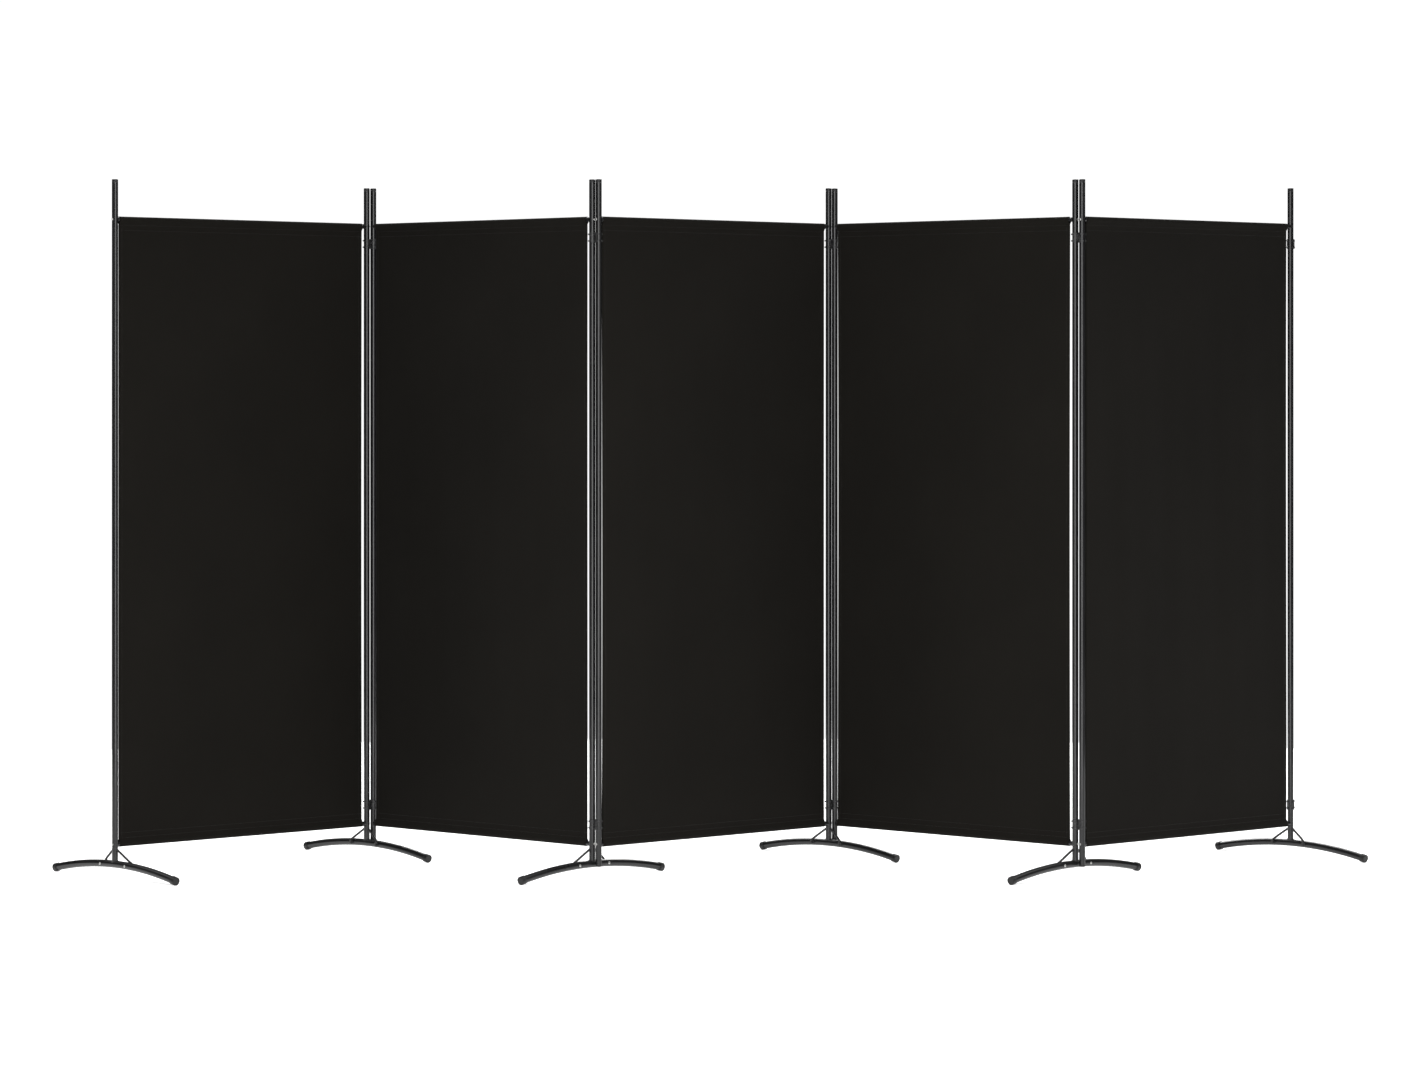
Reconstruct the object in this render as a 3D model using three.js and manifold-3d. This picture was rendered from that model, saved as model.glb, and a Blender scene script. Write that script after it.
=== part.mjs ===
// Folding room divider screen: five fabric panels in steel frames, clipped pole to pole
// and standing on six arched feet. Millimetres, +Z up. The origin is on the floor, under
// the middle of the screen's bounding box. The screen stands half folded, as a zigzag.

import * as THREE from "three";
import { mergeVertices } from "three/addons/utils/BufferGeometryUtils.js";
import Module from "manifold-3d";

const wasm = await Module();
wasm.setup();

// ---- Driving dimensions -------------------------------------------------------------

const PANEL_COUNT = 5;
const SCREEN_HEIGHT = 1800; // floor to pole tops
const POLE_SPACING = 845; // between the axes of one panel's two poles
const FOLD_ANGLE = 44.2; // degrees each panel is turned from the screen's line

const GAP = 0.3; // between pieces that touch
const TUBE_WALL = 0.8;
const SIDES = 16; // of round sections
const THIN_SIDES = 12;

const POLE_RADIUS = 8;
const POLE_END_THICKNESS = 3;
const POLE_EDGE_ROUND = 1;
const HUNG_POLE_HEIGHT = 30; // floor to the foot of a pole that has no foot of its own

const BAR_RADIUS = 6.5;
const TOP_BAR_DROP = 103; // pole top down to the top bar's axis
const BOTTOM_BAR_HEIGHT = 88; // floor up to the bottom bar's axis

const FABRIC_THICKNESS = 1.2;
const FABRIC_LEFT_INSET = 12; // left pole's axis to the fabric's edge
const FABRIC_RIGHT_INSET = 18.5; // right pole's axis to the fabric's edge

const FOOT_RADIUS = 9.5;
const FOOT_SPAN = 506; // between the centres of the foot tube's two ends
const FOOT_RISE = 26; // from the foot tube's ends up to its middle

const CAP_WALL = 0.9;
const CAP_FLOOR_WALL = 0.7; // left under the foot tube where the cap is flattened
const CAP_GRIP = 12; // how far a cap reaches over the foot tube
const CAP_END_THICKNESS = 3;
const CAP_EDGE_ROUND = 1.5;

const SEAT_HEIGHT = 80; // floor to the shoulder that a footed pole stands on
const SPIGOT_LENGTH = 45;
const SPIGOT_WALL = 1.2;
const SPIGOT_FLOOR = 4; // shoulder's depth under the spigot's bore
const BRACE_RADIUS = 2.75;
const BRACE_TOP_DROP = 3; // shoulder down to where a brace leaves the upright
const BRACE_REACH = 52; // pole's axis to a brace's eye, along the foot
const BRACE_KNEE_RISE = 12; // a brace's bend above its eye
const BRACE_KNEE_INSET = 5; // a brace's bend inside its eye, both along and across the foot
const EYE_RADIUS = 6;
const EYE_THICKNESS = 3;

const HUNG_POLE_CLEARANCE = 3.34; // from a hung pole to the foot tube beside it
const CLIP_TURN = 7; // degrees from the panel's line towards the next panel
const END_CLIP_TURN = 36; // the same for the last panel's free clips, swung back
const CLIP_CENTRE_DROP = 150; // pole top down to the upper clip's middle
const CLIP_CENTRE_HEIGHT = 138; // floor up to the lower clip's middle
const CLIP_HEIGHT = 26;
const CLIP_WALL = 2;
const CLIP_BRIDGE_THICKNESS = 7;
const CLIP_MOUTH_ANGLE = 90; // degrees of pole that a jaw leaves open

const BRACE_SIDES = 6;
const FOOT_STEPS = 8;
const BRACE_STEPS = 8;

// ---- Values worked out from them -----------------------------------------------------

// A faceted hole's corners, placed so that its flats clear a round piece by the gap.
const holeRound = (radius, sides) => (radius + GAP) / Math.cos(Math.PI / sides);

const topBarHeight = SCREEN_HEIGHT - TOP_BAR_DROP;
const sleeveBore = holeRound(BAR_RADIUS, THIN_SIDES);
const sleeveRadius = sleeveBore + FABRIC_THICKNESS;

const footHalfSpan = FOOT_SPAN / 2;
const footArcRadius = (footHalfSpan ** 2 + FOOT_RISE ** 2) / (2 * FOOT_RISE);
const footEndTilt = Math.asin(footHalfSpan / footArcRadius);
const capBore = holeRound(FOOT_RADIUS, THIN_SIDES);
const footEndHeight = capBore * Math.cos(footEndTilt) + CAP_FLOOR_WALL;
const footHeight = footEndHeight + FOOT_RISE; // foot tube's axis, at its middle
const clipTurn = THREE.MathUtils.degToRad(CLIP_TURN);
// Between the axes of two poles in one clip.
const jointSpacing = (FOOT_RADIUS + HUNG_POLE_CLEARANCE + POLE_RADIUS) / Math.cos(clipTurn);
const arcDrop = (along) => footArcRadius - Math.sqrt(footArcRadius ** 2 - along ** 2);

// ---- Materials -----------------------------------------------------------------------

const poleSteel = () => new THREE.MeshStandardMaterial({ color: 0x161616, roughness: 0.3, metalness: 0.2 });
const barSteel = () => new THREE.MeshStandardMaterial({ color: 0x121212, roughness: 0.35, metalness: 0.2 });
const footSteel = () => new THREE.MeshStandardMaterial({ color: 0x181818, roughness: 0.4, metalness: 0.2 });
const blackPlastic = () => new THREE.MeshStandardMaterial({ color: 0x0c0c0c, roughness: 0.5, metalness: 0 });
const wovenCloth = () => new THREE.MeshStandardMaterial({ color: 0x1b1a18, roughness: 0.95, metalness: 0 });

// ---- Shape helpers -------------------------------------------------------------------

// A solid turned about the Z axis, from [radius, height] pairs that go up its outer side.
function turned(pairs, sides) {
  const points = pairs.map(([radius, height]) => new THREE.Vector2(radius, height));
  return new THREE.LatheGeometry(points, sides).rotateX(Math.PI / 2);
}

// An open-ended tube along the Z axis.
function hollowTube(outerRadius, innerRadius, low, high, sides) {
  return turned(
    [
      [innerRadius, low],
      [outerRadius, low],
      [outerRadius, high],
      [innerRadius, high],
      [innerRadius, low],
    ],
    sides,
  );
}

// A plain cylinder along the Z axis.
function rod(radius, low, high, sides) {
  return turned([[0, low], [radius, low], [radius, high], [0, high]], sides);
}

// A circle's points, as a shape or a hole.
function circlePoints(radius, sides, centreX = 0, centreY = 0) {
  return Array.from({ length: sides }, (_, i) => {
    const angle = (2 * Math.PI * i) / sides;
    return new THREE.Vector2(centreX + radius * Math.cos(angle), centreY + radius * Math.sin(angle));
  });
}

// A shape drawn in XY, raised from one height to another.
function prism(points, low, high) {
  const options = { depth: high - low, bevelEnabled: false };
  return new THREE.ExtrudeGeometry(new THREE.Shape(points), options).translate(0, 0, low);
}

function box(lengthX, lengthY, lengthZ, x, y, z) {
  return new THREE.BoxGeometry(lengthX, lengthY, lengthZ).translate(x, y, z);
}

// A closed geometry as a solid that can be joined and cut.
function toSolid(geometry) {
  const bare = geometry.clone();
  bare.deleteAttribute("normal");
  bare.deleteAttribute("uv");
  const merged = mergeVertices(bare);
  const index = merged.index.array;
  const triangles = [];
  for (let i = 0; i < index.length; i += 3) {
    const [a, b, c] = [index[i], index[i + 1], index[i + 2]];
    if (a !== b && b !== c && c !== a) {
      triangles.push(a, b, c);
    }
  }
  const vertProperties = merged.attributes.position.array;
  const mesh = new wasm.Mesh({ numProp: 3, vertProperties, triVerts: Uint32Array.from(triangles) });
  return new wasm.Manifold(mesh);
}

function toGeometry(solid) {
  const mesh = solid.getMesh();
  const geometry = new THREE.BufferGeometry();
  geometry.setAttribute("position", new THREE.BufferAttribute(mesh.vertProperties, 3));
  geometry.setIndex(new THREE.BufferAttribute(mesh.triVerts, 1));
  geometry.computeVertexNormals();
  return geometry;
}

const joined = (geometries) => geometries.map(toSolid).reduce((whole, piece) => whole.add(piece));

const cut = (solid, geometries) => geometries.map(toSolid).reduce((left, tool) => left.subtract(tool), solid);

function addMesh(parent, name, geometry, material) {
  const mesh = new THREE.Mesh(geometry, material());
  mesh.name = name;
  parent.add(mesh);
  return mesh;
}

function addGroup(parent, x, turnDegrees) {
  const group = new THREE.Group();
  group.position.x = x;
  group.rotation.z = THREE.MathUtils.degToRad(turnDegrees);
  parent.add(group);
  return group;
}

// ---- Poles: steel tubes, closed at the top and open at the bottom ---------------------

function poleGeometry(bottomHeight) {
  const bore = POLE_RADIUS - TUBE_WALL;
  return turned(
    [
      [0, SCREEN_HEIGHT - POLE_END_THICKNESS],
      [bore, SCREEN_HEIGHT - POLE_END_THICKNESS],
      [bore, bottomHeight],
      [POLE_RADIUS, bottomHeight],
      [POLE_RADIUS, SCREEN_HEIGHT - POLE_EDGE_ROUND],
      [POLE_RADIUS - POLE_EDGE_ROUND, SCREEN_HEIGHT],
      [0, SCREEN_HEIGHT],
    ],
    SIDES,
  );
}

// ---- Bars: steel tubes between the poles, their ends hollowed to fit round them --------

function barGeometry() {
  const half = POLE_SPACING / 2;
  const bar = hollowTube(BAR_RADIUS, BAR_RADIUS - TUBE_WALL, -half, half, THIN_SIDES).rotateY(Math.PI / 2);
  const position = bar.attributes.position;
  for (let i = 0; i < position.count; i += 1) {
    const across = position.getY(i);
    const setback = Math.sqrt((POLE_RADIUS + GAP) ** 2 - across ** 2);
    position.setX(i, Math.sign(position.getX(i)) * (half - setback) + half);
  }
  return bar;
}

// ---- Fabric: a flat cloth with a sleeve round each bar ---------------------------------

function fabricGeometry() {
  const halfCloth = FABRIC_THICKNESS / 2;
  const neck = Math.asin(halfCloth / sleeveRadius); // where the cloth meets a sleeve
  const outline = [];
  for (const [barHeight, side] of [[topBarHeight, 1], [BOTTOM_BAR_HEIGHT, -1]]) {
    for (let i = 0; i <= THIN_SIDES; i += 1) {
      const angle = side * (Math.PI / 2) - (Math.PI - neck) + ((2 * Math.PI - 2 * neck) * i) / THIN_SIDES;
      outline.push(new THREE.Vector2(sleeveRadius * Math.cos(angle), barHeight + sleeveRadius * Math.sin(angle)));
    }
  }
  const shape = new THREE.Shape(outline);
  for (const barHeight of [topBarHeight, BOTTOM_BAR_HEIGHT]) {
    shape.holes.push(new THREE.Path(circlePoints(sleeveBore, THIN_SIDES, 0, barHeight)));
  }
  const width = POLE_SPACING - FABRIC_LEFT_INSET - FABRIC_RIGHT_INSET;
  const cloth = new THREE.ExtrudeGeometry(shape, { depth: width, bevelEnabled: false });
  // The section's X and Y become the panel's Y and Z, and its depth runs along the panel.
  const alongPanel = new THREE.Matrix4().makeBasis(
    new THREE.Vector3(0, 1, 0),
    new THREE.Vector3(0, 0, 1),
    new THREE.Vector3(1, 0, 0),
  );
  return cloth.applyMatrix4(alongPanel).translate(FABRIC_LEFT_INSET, 0, 0);
}

// ---- Feet: an arched tube across the panel, under its pole -----------------------------

class FootArc extends THREE.Curve {
  getPoint(t, target = new THREE.Vector3()) {
    const angle = (2 * t - 1) * footEndTilt;
    const drop = footArcRadius * (1 - Math.cos(angle));
    return target.set(0, footArcRadius * Math.sin(angle), footHeight - drop);
  }
}

function footTubeGeometry() {
  const ring = new THREE.Shape(circlePoints(FOOT_RADIUS, THIN_SIDES));
  ring.holes.push(new THREE.Path(circlePoints(FOOT_RADIUS - TUBE_WALL, THIN_SIDES)));
  return new THREE.ExtrudeGeometry(ring, { steps: FOOT_STEPS, extrudePath: new FootArc() });
}

// A cap over one end of the foot tube, flattened where it stands on the floor.
// Side is 1 for the end at +Y and -1 for the end at -Y.
function footCapGeometry(side) {
  const outer = capBore + CAP_WALL;
  const cap = turned(
    [
      [0, GAP],
      [capBore, GAP],
      [capBore, -CAP_GRIP],
      [outer, -CAP_GRIP],
      [outer, CAP_END_THICKNESS - CAP_EDGE_ROUND],
      [outer - CAP_EDGE_ROUND, CAP_END_THICKNESS],
      [0, CAP_END_THICKNESS],
    ],
    THIN_SIDES,
  );
  cap.rotateX(-side * (Math.PI / 2 + footEndTilt));
  cap.translate(0, side * footHalfSpan, footEndHeight);
  const reach = 4 * outer;
  const belowFloor = box(reach, reach, reach, 0, side * footHalfSpan, -reach / 2);
  return toGeometry(cut(toSolid(cap), [belowFloor]));
}

// The upright that carries a pole, with its two braces. Inward is 1 where the panel lies
// on the foot's +X side and -1 where it lies on the -X side.
function footBracketGeometry(inward) {
  const spigotRadius = POLE_RADIUS - TUBE_WALL - GAP;
  const upright = turned(
    [
      [0, footHeight],
      [POLE_RADIUS, footHeight],
      [POLE_RADIUS, SEAT_HEIGHT],
      [spigotRadius, SEAT_HEIGHT],
      [spigotRadius, SEAT_HEIGHT + SPIGOT_LENGTH],
      [spigotRadius - SPIGOT_WALL, SEAT_HEIGHT + SPIGOT_LENGTH],
      [spigotRadius - SPIGOT_WALL, SEAT_HEIGHT - SPIGOT_FLOOR],
      [0, SEAT_HEIGHT - SPIGOT_FLOOR],
    ],
    THIN_SIDES,
  );
  const eyeFace = FOOT_RADIUS + GAP; // eye's flat side, from the foot tube's axis
  const eyeHeight = footHeight - arcDrop(BRACE_REACH);
  const section = new THREE.Shape(circlePoints(BRACE_RADIUS, BRACE_SIDES));
  const pieces = [upright];
  for (const side of [-1, 1]) {
    const braceX = inward * (eyeFace + BRACE_RADIUS);
    const path = new THREE.CatmullRomCurve3(
      [
        new THREE.Vector3(0, (side * POLE_RADIUS) / 2, SEAT_HEIGHT - BRACE_TOP_DROP),
        new THREE.Vector3(
          braceX - inward * BRACE_KNEE_INSET,
          side * (BRACE_REACH - BRACE_KNEE_INSET),
          eyeHeight + BRACE_KNEE_RISE,
        ),
        new THREE.Vector3(braceX, side * (BRACE_REACH - 0.5), eyeHeight + BRACE_KNEE_RISE / 2),
        new THREE.Vector3(braceX, side * BRACE_REACH, eyeHeight),
      ],
      false,
      "centripetal",
    );
    pieces.push(new THREE.ExtrudeGeometry(section, { steps: BRACE_STEPS, extrudePath: path }));
    const eye = rod(EYE_RADIUS, eyeFace, eyeFace + EYE_THICKNESS, THIN_SIDES);
    eye.rotateY((inward * Math.PI) / 2);
    pieces.push(eye.translate(0, side * BRACE_REACH, eyeHeight));
  }
  const footSpace = rod(holeRound(FOOT_RADIUS, THIN_SIDES), -POLE_RADIUS * 2, POLE_RADIUS * 2, THIN_SIDES);
  footSpace.rotateX(Math.PI / 2);
  footSpace.translate(0, 0, footHeight);
  return toGeometry(cut(joined(pieces), [footSpace]));
}

function addFoot(parent, number, x, inward) {
  const foot = addGroup(parent, x, 0);
  addMesh(foot, `foot_${number}_tube`, footTubeGeometry(), footSteel);
  addMesh(foot, `foot_${number}_bracket`, footBracketGeometry(inward), footSteel);
  addMesh(foot, `foot_${number}_front_cap`, footCapGeometry(-1), blackPlastic);
  addMesh(foot, `foot_${number}_back_cap`, footCapGeometry(1), blackPlastic);
}

// ---- Clips: two jaws back to back, one round each of two neighbouring poles ------------

function clipGeometry() {
  const bore = holeRound(POLE_RADIUS, THIN_SIDES);
  const half = CLIP_HEIGHT / 2;
  const mouthReach = 2 * (bore + CLIP_WALL);
  const mouthHalf = THREE.MathUtils.degToRad(CLIP_MOUTH_ANGLE / 2);
  const bodies = [box(jointSpacing, CLIP_BRIDGE_THICKNESS, CLIP_HEIGHT, jointSpacing / 2, 0, 0)];
  const holes = [];
  for (const [poleX, outward] of [[0, -1], [jointSpacing, 1]]) {
    bodies.push(rod(bore + CLIP_WALL, -half, half, THIN_SIDES).translate(poleX, 0, 0));
    holes.push(rod(bore, -CLIP_HEIGHT, CLIP_HEIGHT, THIN_SIDES).translate(poleX, 0, 0));
    const far = outward * mouthReach * Math.cos(mouthHalf);
    const wide = outward * mouthReach * Math.sin(mouthHalf);
    const mouth = [new THREE.Vector2(0, 0), new THREE.Vector2(far, -wide), new THREE.Vector2(far, wide)];
    holes.push(prism(mouth, -CLIP_HEIGHT, CLIP_HEIGHT).translate(poleX, 0, 0));
  }
  return toGeometry(cut(joined(bodies), holes));
}

function addClips(parent, number, turnDegrees) {
  const clips = addGroup(parent, POLE_SPACING, turnDegrees);
  const upper = addMesh(clips, `clip_${number}_upper`, clipGeometry(), blackPlastic);
  upper.position.z = SCREEN_HEIGHT - CLIP_CENTRE_DROP;
  const lower = addMesh(clips, `clip_${number}_lower`, clipGeometry(), blackPlastic);
  lower.position.z = CLIP_CENTRE_HEIGHT;
  return clips;
}

// ---- Panels ----------------------------------------------------------------------------

// The left pole's axis is the panel's origin, and its right pole stands at +X. Every panel
// has a foot under its right pole, and the first panel has one under its left pole too.
function addPanel(parent, number) {
  const panel = addGroup(parent, 0, 0);
  const standing = SEAT_HEIGHT + GAP;
  const leftBottom = number === 1 ? standing : HUNG_POLE_HEIGHT;
  addMesh(panel, `panel_${number}_left_pole`, poleGeometry(leftBottom), poleSteel);
  const right = addMesh(panel, `panel_${number}_right_pole`, poleGeometry(standing), poleSteel);
  right.position.x = POLE_SPACING;
  const topBar = addMesh(panel, `panel_${number}_top_bar`, barGeometry(), barSteel);
  topBar.position.z = topBarHeight;
  const bottomBar = addMesh(panel, `panel_${number}_bottom_bar`, barGeometry(), barSteel);
  bottomBar.position.z = BOTTOM_BAR_HEIGHT;
  addMesh(panel, `panel_${number}_fabric`, fabricGeometry(), wovenCloth);
  if (number === 1) {
    addFoot(panel, 1, 0, 1);
  }
  addFoot(panel, number + 1, POLE_SPACING, -1);
  return panel;
}

function buildScreen() {
  const screen = new THREE.Group();
  let corner = new THREE.Vector3(0, 0, 0);
  for (let number = 1; number <= PANEL_COUNT; number += 1) {
    const fold = number % 2 === 1 ? 1 : -1; // panels lean away from and towards the front in turn
    const last = number === PANEL_COUNT;
    const panel = addPanel(screen, number);
    panel.position.copy(corner);
    panel.rotation.z = THREE.MathUtils.degToRad(fold * FOLD_ANGLE);
    const clips = addClips(panel, number, last ? fold * END_CLIP_TURN : -fold * CLIP_TURN);
    screen.updateMatrixWorld(true);
    corner = clips.localToWorld(new THREE.Vector3(jointSpacing, 0, 0));
  }
  const middle = new THREE.Box3().setFromObject(screen, true).getCenter(new THREE.Vector3());
  screen.position.set(-middle.x, -middle.y, 0);
  screen.updateMatrixWorld(true);
  return screen;
}

export default buildScreen();
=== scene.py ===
"""Folding room divider screen: five cloth panels in black steel frames on arched feet.

Metres, Z up, in the axes of the CAD frame. Each panel's pieces are shaped in the panel's
own axes: X from its left pole to its right pole, Y to the back and Z up from the floor.
"""

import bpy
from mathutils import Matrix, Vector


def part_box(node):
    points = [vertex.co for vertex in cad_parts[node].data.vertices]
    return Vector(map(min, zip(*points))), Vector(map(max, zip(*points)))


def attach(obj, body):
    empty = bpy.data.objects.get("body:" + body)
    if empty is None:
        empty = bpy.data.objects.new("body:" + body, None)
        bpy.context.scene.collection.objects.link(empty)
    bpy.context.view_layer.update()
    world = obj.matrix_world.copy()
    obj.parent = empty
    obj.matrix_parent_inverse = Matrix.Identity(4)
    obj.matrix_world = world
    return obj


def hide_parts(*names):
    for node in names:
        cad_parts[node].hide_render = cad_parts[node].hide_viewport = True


bl_info = {
    "name": "Folding Screen",
    "version": (1, 0, 0),
    "blender": (4, 5, 0),
    "location": "View3D > Sidebar > Folding Screen",
    "description": "Builds a folding room divider screen of cloth panels in steel frames",
    "category": "Object",
}

from math import acos, atan2, cos, dist, exp, hypot, pi, radians, sin, sqrt

import bmesh
import bpy
from bpy.props import FloatProperty, FloatVectorProperty, PointerProperty
from bpy.types import NodeSocket
from mathutils import Matrix, Vector

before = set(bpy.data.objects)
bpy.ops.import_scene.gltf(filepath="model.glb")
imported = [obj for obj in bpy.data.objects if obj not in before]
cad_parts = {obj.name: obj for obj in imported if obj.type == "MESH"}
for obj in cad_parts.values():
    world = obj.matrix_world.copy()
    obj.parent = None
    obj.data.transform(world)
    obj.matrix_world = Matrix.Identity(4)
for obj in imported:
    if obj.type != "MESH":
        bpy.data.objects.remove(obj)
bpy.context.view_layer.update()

PANELS = range(1, 6)
SIDES = ("left", "right")
ROUND = 48  # sides of a tube that is seen up close
TURN = 2 * pi
SAME = 1e-6  # points nearer than this count as one
FIT = 0.0003  # room left where one piece fits round or into another
WORN_CORNER = radians(20)  # an edge sharper than this rubs bare
SCREW_ALONG = 0.052  # from the middle of a foot to each of its screws


# ---- Places taken from the CAD frame ----


def middle(node):
    low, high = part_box(node)
    return (low + high) / 2


def axes_between(start, end):
    """Axes that stand on the floor under start, with X towards end."""
    turn = atan2(end.y - start.y, end.x - start.x)
    return Matrix.Translation((start.x, start.y, 0)) @ Matrix.Rotation(turn, 4, "Z")


def own_box(node, axes):
    """A CAD node's lowest and highest corners in a panel's own axes."""
    inverse = axes.inverted()
    points = [inverse @ vertex.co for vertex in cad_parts[node].data.vertices]
    return Vector(map(min, zip(*points))), Vector(map(max, zip(*points)))


POLE_PLACES = {
    (number, side): middle(f"panel_{number}_{side}_pole")
    for number in PANELS
    for side in SIDES
}
PANEL_AXES = {
    number: axes_between(POLE_PLACES[number, "left"], POLE_PLACES[number, "right"])
    for number in PANELS
}
FEET = {1: (1, "left")} | {number + 1: (number, "right") for number in PANELS}

POLE_BOX, TOP_BAR_BOX, BOTTOM_BAR_BOX, CLOTH_BOX = (
    own_box(f"panel_1_{name}", PANEL_AXES[1])
    for name in ("left_pole", "top_bar", "bottom_bar", "fabric")
)
FOOT_BOX = own_box("foot_1_tube", PANEL_AXES[1])
CLIP_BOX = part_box("clip_1_upper")

PANEL_WIDTH = (POLE_PLACES[1, "right"] - POLE_PLACES[1, "left"]).xy.length
TOP_BAR = (TOP_BAR_BOX[0].z + TOP_BAR_BOX[1].z) / 2
BOTTOM_BAR = (BOTTOM_BAR_BOX[0].z + BOTTOM_BAR_BOX[1].z) / 2
CLIP_PLACES = [middle(f"clip_1_{place}").z for place in ("upper", "lower")]
CLIP_HEIGHT = CLIP_BOX[1].z - CLIP_BOX[0].z


# ---- What a user may change ----


def length(name, description, default):
    return FloatProperty(
        name=name, description=description, default=default, min=0, unit="LENGTH", precision=5
    )


def colour(name, description, default):
    return FloatVectorProperty(
        name=name, description=description, default=default, subtype="COLOR", min=0, max=1
    )


class FrameSizes(bpy.types.PropertyGroup):
    pole_radius: length("Pole radius", "Outer radius of the upright poles", POLE_BOX[1].x)
    bar_radius: length("Bar radius", "Outer radius of the crossbars", TOP_BAR_BOX[1].y)
    tube_wall: length("Tube wall", "Wall thickness of the steel tubes", 0.0008)
    cap_height: length("Cap height", "Height of the cap that shows on a pole", 0.0075)
    plug_height: length("Plug height", "Height of the plug that shows under a pole", 0.0032)
    foot_radius: length("Foot radius", "Outer radius of the arched foot tubes", FOOT_BOX[1].x)
    brace_radius: length("Brace radius", "Radius of the thin braces", 0.003)
    screw_radius: length("Screw radius", "Radius of a screw's head", 0.0031)
    screw_height: length("Screw height", "Height of a screw's head", 0.0017)


class ClothSizes(bpy.types.PropertyGroup):
    thickness: length("Thickness", "Thickness of one layer of cloth", 0.0006)
    seam_drop: length("Seam drop", "From a bar's axis to the seam of its sleeve", 0.0135)
    hem_drop: length("Hem drop", "From a bar's axis to the edge of the turned hem", 0.032)
    side_hem: length("Side hem", "Width of the turned side hems", 0.012)
    side_bow: length("Side bow", "How far the side edges draw in at mid height", 0.0008)
    sway: length("Sway", "Depth of the shallow waves across the cloth", 0.0011)
    pucker: length("Pucker", "Depth of the puckers along a seam", 0.00028)
    stitch: length("Stitch", "Length from one stitch to the next", 0.005)


class Finishes(bpy.types.PropertyGroup):
    pole: colour("Poles and bars", "Gloss powder coat", (0.0065, 0.0065, 0.0068))
    foot: colour("Feet", "Satin powder coat", (0.0075, 0.0075, 0.0078))
    plastic: colour("Plastic", "Caps, plugs and clips", (0.006, 0.006, 0.0062))
    cloth: colour("Cloth", "Woven cloth", (0.0062, 0.0055, 0.0044))
    thread: colour("Thread", "Sewing thread", (0.012, 0.0115, 0.0105))
    zinc: colour("Screws", "Zinc plate", (0.62, 0.62, 0.6))
    floor: colour("Floor", "Studio floor", (0.9, 0.9, 0.9))


def light(name, description, default, unit="NONE"):
    return FloatProperty(name=name, description=description, default=default, min=0, unit=unit)


class StudioLights(bpy.types.PropertyGroup):
    backdrop: light("Backdrop", "Brightness of the white behind the screen", 1.05)
    surround: light("Surround", "Brightness of the room that the screen reflects", 0.03)
    overhead: light("Overhead", "Soft light from straight above", 3.0)
    front: light("Front light", "Wide soft light near the camera's line", 150, "POWER")
    right: light("Right light", "Wide soft light on the right", 14, "POWER")
    left: light("Left light", "Wide soft light on the left", 9, "POWER")
    back: light("Back light", "Wide soft light high up behind the screen", 260, "POWER")
    floor_glow: light("Floor glow", "Light that the floor itself gives off", 0.6)


# Where each soft light hangs, the point it shines at, and its width and height.
SOFT_LIGHTS = {
    "front": ((0.1, -3.6, 1.2), (0.1, 0, 1.0), (2.6, 3.4)),
    "right": ((4.8, -2.6, 1.6), (1.2, 0, 0.9), (3.0, 3.2)),
    "left": ((-4.8, -2.6, 1.6), (-1.0, 0, 0.9), (3.0, 3.2)),
    "back": ((0, 4.6, 3.8), (0, 0, 0.9), (4.0, 2.0)),
}
OVERHEAD_SPREAD = radians(100)
FLOOR_RADIUS = 4.6
CAMERA_PLACE = (0, -12.83, 1.28)
CAMERA_LENS, SENSOR_WIDTH = 123.44, 36  # millimetres
CAMERA_SHIFT = (-0.0044, -0.1069)


# ---- Shaping ----


def verts_in(items):
    return [item for item in items if isinstance(item, bmesh.types.BMVert)]


def edges_in(items):
    return [item for item in items if isinstance(item, bmesh.types.BMEdge)]


def edges_of(verts):
    return list({edge for vertex in verts for edge in vertex.link_edges})


def faces_of(verts):
    return list({face for vertex in verts for face in vertex.link_faces})


def open_edges(verts):
    return [edge for edge in edges_of(verts) if edge.is_boundary]


def turn_outwards(bm, verts):
    bmesh.ops.recalc_face_normals(bm, faces=faces_of(verts))


def grow(bm, edges):
    """Extrudes a row of edges, and returns the new row's vertices and edges."""
    grown = bmesh.ops.extrude_edge_only(bm, edges=edges)["geom"]
    verts = verts_in(grown)
    row = set(verts)
    return verts, [edge for edge in edges_in(grown) if row.issuperset(edge.verts)]


def turned(bm, profile, steps=ROUND, closed=False, angle=TURN, start=0.0):
    """Turns a profile of (radius, height) points about Z, and returns its vertices."""
    ring = [bm.verts.new((radius, 0, height)) for radius, height in profile]
    ends = ring[1:] + ring[:1] if closed else ring[1:]
    edges = [bm.edges.new(pair) for pair in zip(ring, ends)]
    bmesh.ops.rotate(bm, verts=ring, cent=(0, 0, 0), matrix=Matrix.Rotation(start, 3, "Z"))
    full = angle == TURN
    before = set(bm.verts) - set(ring)
    bmesh.ops.spin(
        bm, geom=ring + edges, cent=(0, 0, 0), axis=(0, 0, 1), dvec=(0, 0, 0),
        angle=angle, steps=steps, use_merge=full, use_duplicate=False,
    )
    made = [vertex for vertex in bm.verts if vertex not in before]
    bmesh.ops.remove_doubles(bm, verts=made, dist=SAME)
    made = [vertex for vertex in bm.verts if vertex not in before]
    if not full:
        bmesh.ops.holes_fill(bm, edges=open_edges(made), sides=0)
    turn_outwards(bm, made)
    return made


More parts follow.
